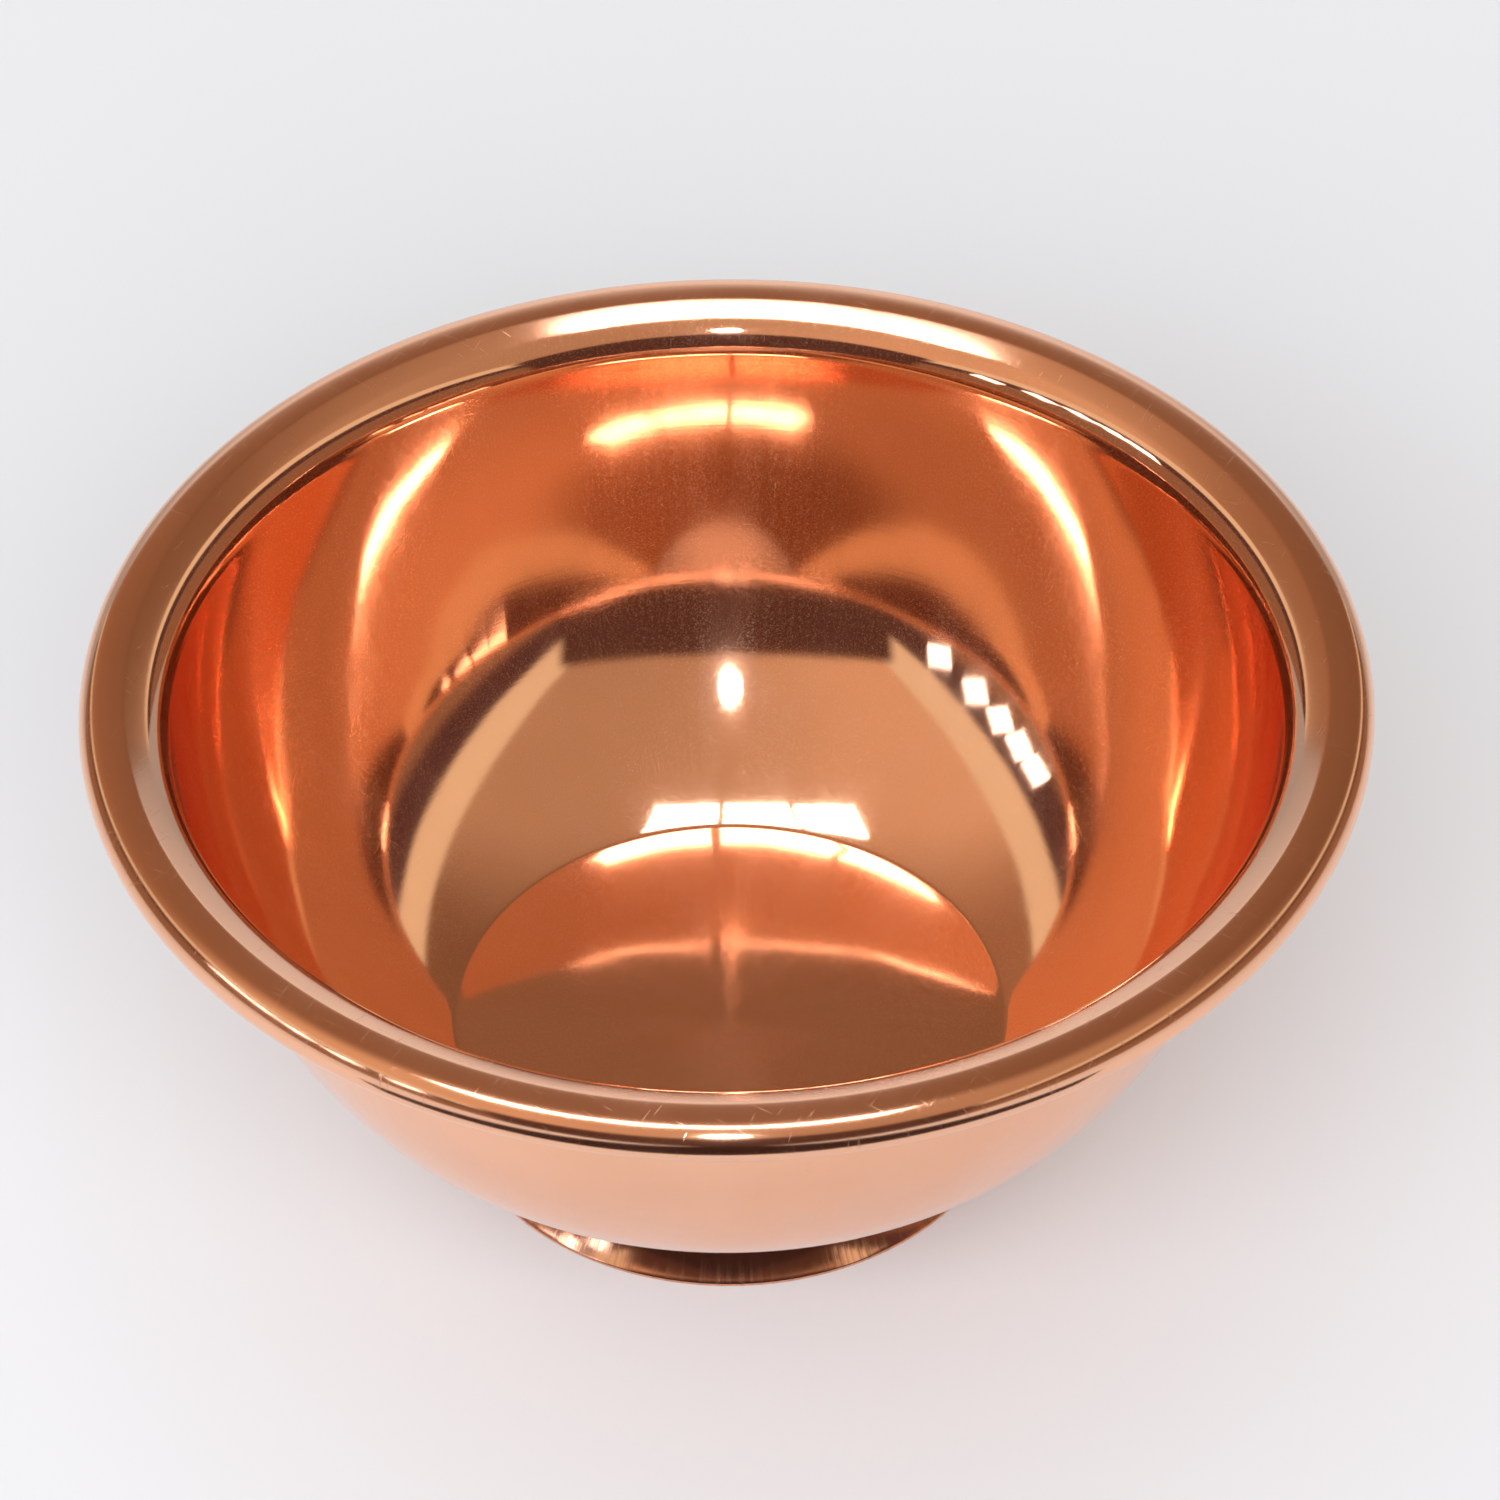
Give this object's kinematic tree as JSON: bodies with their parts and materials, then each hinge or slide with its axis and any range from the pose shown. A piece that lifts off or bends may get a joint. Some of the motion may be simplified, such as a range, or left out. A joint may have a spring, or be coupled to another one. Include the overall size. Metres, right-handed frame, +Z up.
{
  "type": "offering bowl",
  "caption": "Small round offering bowl spun from copper, mirror polished, with a broad rolled rim and a short flared foot ring, for holding water or other offerings",
  "frame": {"origin": "on the bowl's axis, in the plane that the foot rests on", "axes": "+Z up along the bowl's axis of revolution; the bowl is round, so X and Y are alike"},
  "size_m": [0.1, 0.1, 0.0444],
  "materials": {
    "polished_copper": "mirror-polished copper, faint rubbing marks on the rim",
    "wire_copper": "plain drawn copper wire",
    "foot_copper": "polished copper, a little duller than the bowl",
    "solder": "dull grey tin solder"
  },
  "bodies": {
    "root": {"bowl_shell": "polished_copper", "rim_wire": "wire_copper", "foot_ring": "foot_copper", "solder_seam": "solder"}
  },
  "joints": []
}
